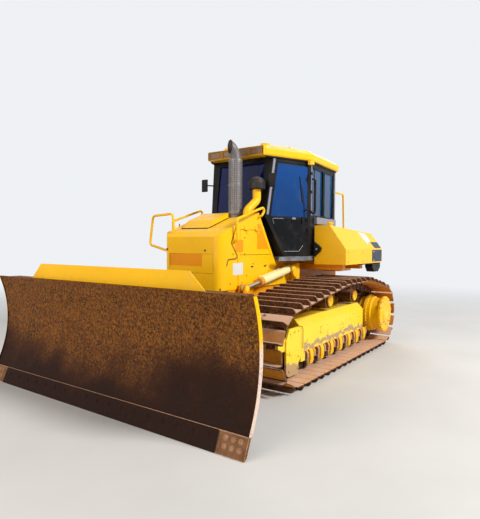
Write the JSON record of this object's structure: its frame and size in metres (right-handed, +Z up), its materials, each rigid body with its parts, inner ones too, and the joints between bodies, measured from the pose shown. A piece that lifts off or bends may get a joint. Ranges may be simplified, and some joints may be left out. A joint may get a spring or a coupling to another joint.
{
  "type": "crawler bulldozer",
  "caption": "Wide-track crawler bulldozer with an angling and tilting blade on an inside push frame, six-sided cab, engine ahead of the cab and radiator at the rear.",
  "frame": {"origin": "on the ground, at the middle of the whole machine's box", "axes": "+X forward towards the blade, +Y to the operator's left, +Z up"},
  "size_m": [5.488, 3.86, 3.175],
  "materials": {
    "yellow_paint": "machine paint, gloss worn",
    "black_paint": "satin black paint",
    "track_steel": "rust-brown worn steel",
    "worn_steel": "rubbed and rusted plate",
    "chrome_rod": "hard chrome",
    "tinted_glass": "blue-tinted glass",
    "seat_cloth": "dark woven cloth",
    "console_plastic": "moulded",
    "platform_grey": "grey non-slip paint",
    "exhaust_steel": "heat-stained steel",
    "cap_plastic": "black moulded",
    "engine_iron": "painted iron",
    "core_aluminium": "fins",
    "lamp_lens": "clear lens in dark case",
    "barrel_paint": "pale yellow paint"
  },
  "bodies": {
    "root": {"track_left": "track_steel", "track_right": "track_steel", "idlers": "track_steel", "sprockets": "track_steel", "final_drives": "yellow_paint", "track_rollers": "track_steel", "carrier_rollers": "track_steel", "track_frame_left": "yellow_paint", "track_frame_right": "yellow_paint", "pivot_shaft": "yellow_paint", "equalizer_bar": "yellow_paint", "main_frame": "yellow_paint", "drawbar": "yellow_paint", "hood_nose": "yellow_paint", "hood_rear": "yellow_paint", "hood_top": "yellow_paint", "engine_block": "engine_iron", "exhaust": "exhaust_steel", "intake_cap": "cap_plastic", "intake_pipe": "yellow_paint", "cab_frame": "black_paint", "cab_glass": "tinted_glass", "cab_roof": "yellow_paint", "work_lamps": "lamp_lens", "platform": "platform_grey", "fender_beams": "yellow_paint", "tank_left": "yellow_paint", "tank_right": "yellow_paint", "operator_seat": "seat_cloth", "controls": "console_plastic", "radiator_housing": "yellow_paint", "radiator_core": "core_aluminium", "handrails": "yellow_paint", "cylinder_brackets": "yellow_paint"},
    "c_frame": {"c_frame": "yellow_paint"},
    "blade_yoke": {"blade_yoke": "yellow_paint"},
    "blade": {"blade": "worn_steel", "cutting_edges": "worn_steel", "end_bits": "worn_steel", "spill_guard": "yellow_paint"},
    "lift_barrels": {"lift_barrels": "barrel_paint"},
    "lift_rods": {"lift_rods": "chrome_rod"},
    "angle_barrel_left": {"angle_barrel_left": "yellow_paint"},
    "angle_rod_left": {"angle_rod_left": "chrome_rod"},
    "angle_barrel_right": {"angle_barrel_right": "yellow_paint"},
    "angle_rod_right": {"angle_rod_right": "chrome_rod"},
    "tilt_barrel": {"tilt_barrel": "yellow_paint"},
    "tilt_rod": {"tilt_rod": "chrome_rod"},
    "cab_door_left": {"cab_door_left": "black_paint", "door_glass_left": "tinted_glass"},
    "cab_door_right": {"cab_door_right": "black_paint", "door_glass_right": "tinted_glass"},
    "engine_door_left": {"engine_door_left": "yellow_paint"},
    "engine_door_right": {"engine_door_right": "yellow_paint"},
    "fan": {"fan": "cap_plastic"},
    "rear_grille": {"rear_grille": "yellow_paint"}
  },
  "joints": [
    {"name": "blade_lift", "type": "hinge", "parent": "root", "child": "c_frame", "pos_m": [-0.59, 0, 0.5], "axis": [0, -1, 0], "range_deg": [-8, 18]},
    {"name": "lift_barrel_swing", "type": "hinge", "parent": "root", "child": "lift_barrels", "pos_m": [-0.45, 0, 1.345], "axis": [0, -1, 0], "range_deg": [-9, 20]},
    {"name": "lift_rod_slide", "type": "slide", "parent": "lift_barrels", "child": "lift_rods", "axis": [0.9848, 0, -0.1736], "range_m": [-0.27, 0.125]},
    {"name": "blade_angle", "type": "hinge", "parent": "c_frame", "child": "blade_yoke", "pos_m": [2.11, 0, 0.42], "axis": [0, 0, 1], "range_deg": [-24, 24]},
    {"name": "angle_left_swing", "type": "hinge", "parent": "c_frame", "child": "angle_barrel_left", "pos_m": [1.28, 0.56, 0.59], "axis": [0, 0, 1], "range_deg": [-1.5, 1.5]},
    {"name": "angle_left_slide", "type": "slide", "parent": "angle_barrel_left", "child": "angle_rod_left", "axis": [0.9976, -0.0696, 0], "range_m": [-0.215, 0.215]},
    {"name": "angle_right_swing", "type": "hinge", "parent": "c_frame", "child": "angle_barrel_right", "pos_m": [1.28, -0.56, 0.59], "axis": [0, 0, 1], "range_deg": [-1.5, 1.5]},
    {"name": "angle_right_slide", "type": "slide", "parent": "angle_barrel_right", "child": "angle_rod_right", "axis": [0.9976, 0.0696, 0], "range_m": [-0.215, 0.215]},
    {"name": "blade_tilt", "type": "hinge", "parent": "blade_yoke", "child": "blade", "pos_m": [2.245, 0, 0.42], "axis": [1, 0, 0], "range_deg": [-6, 6]},
    {"name": "tilt_barrel_swing", "type": "hinge", "parent": "blade_yoke", "child": "tilt_barrel", "pos_m": [2.31, 0.15, 0.93], "axis": [1, 0, 0], "range_deg": [-5, 5]},
    {"name": "tilt_rod_slide", "type": "slide", "parent": "tilt_barrel", "child": "tilt_rod", "axis": [0, -1, 0], "range_m": [-0.055, 0.055]},
    {"name": "left_cab_door", "type": "hinge", "parent": "root", "child": "cab_door_left", "pos_m": [-0.59666, 0.79312, 2.2], "axis": [0, 0, 1], "range_deg": [0, 100]},
    {"name": "right_cab_door", "type": "hinge", "parent": "root", "child": "cab_door_right", "pos_m": [-0.59666, -0.79312, 2.2], "axis": [0, 0, -1], "range_deg": [0, 100]},
    {"name": "left_engine_door", "type": "hinge", "parent": "root", "child": "engine_door_left", "pos_m": [0.45, 0.504, 1.897], "axis": [1, 0, 0], "range_deg": [0, 80]},
    {"name": "right_engine_door", "type": "hinge", "parent": "root", "child": "engine_door_right", "pos_m": [0.45, -0.504, 1.897], "axis": [-1, 0, 0], "range_deg": [0, 80]},
    {"name": "fan_spin", "type": "hinge", "parent": "root", "child": "fan", "pos_m": [-2.12, 0, 1.59], "axis": [1, 0, 0], "continuous": true},
    {"name": "grille_swing", "type": "hinge", "parent": "root", "child": "rear_grille", "pos_m": [-2.404, 0.732, 1.5], "axis": [0, 0, -1], "range_deg": [0, 100]}
  ],
  "couplings": [
    {"joint": "lift_barrel_swing", "follows": "blade_lift", "ratio": 1.09},
    {"joint": "lift_rod_slide", "follows": "blade_lift", "m_per_rad": -0.845},
    {"joint": "angle_left_swing", "follows": "blade_angle", "ratio": -0.036},
    {"joint": "angle_left_slide", "follows": "blade_angle", "m_per_rad": -0.486},
    {"joint": "angle_right_swing", "follows": "blade_angle", "ratio": -0.036},
    {"joint": "angle_right_slide", "follows": "blade_angle", "m_per_rad": 0.486},
    {"joint": "tilt_barrel_swing", "follows": "blade_tilt", "ratio": 0.79},
    {"joint": "tilt_rod_slide", "follows": "blade_tilt", "m_per_rad": 0.502}
  ]
}
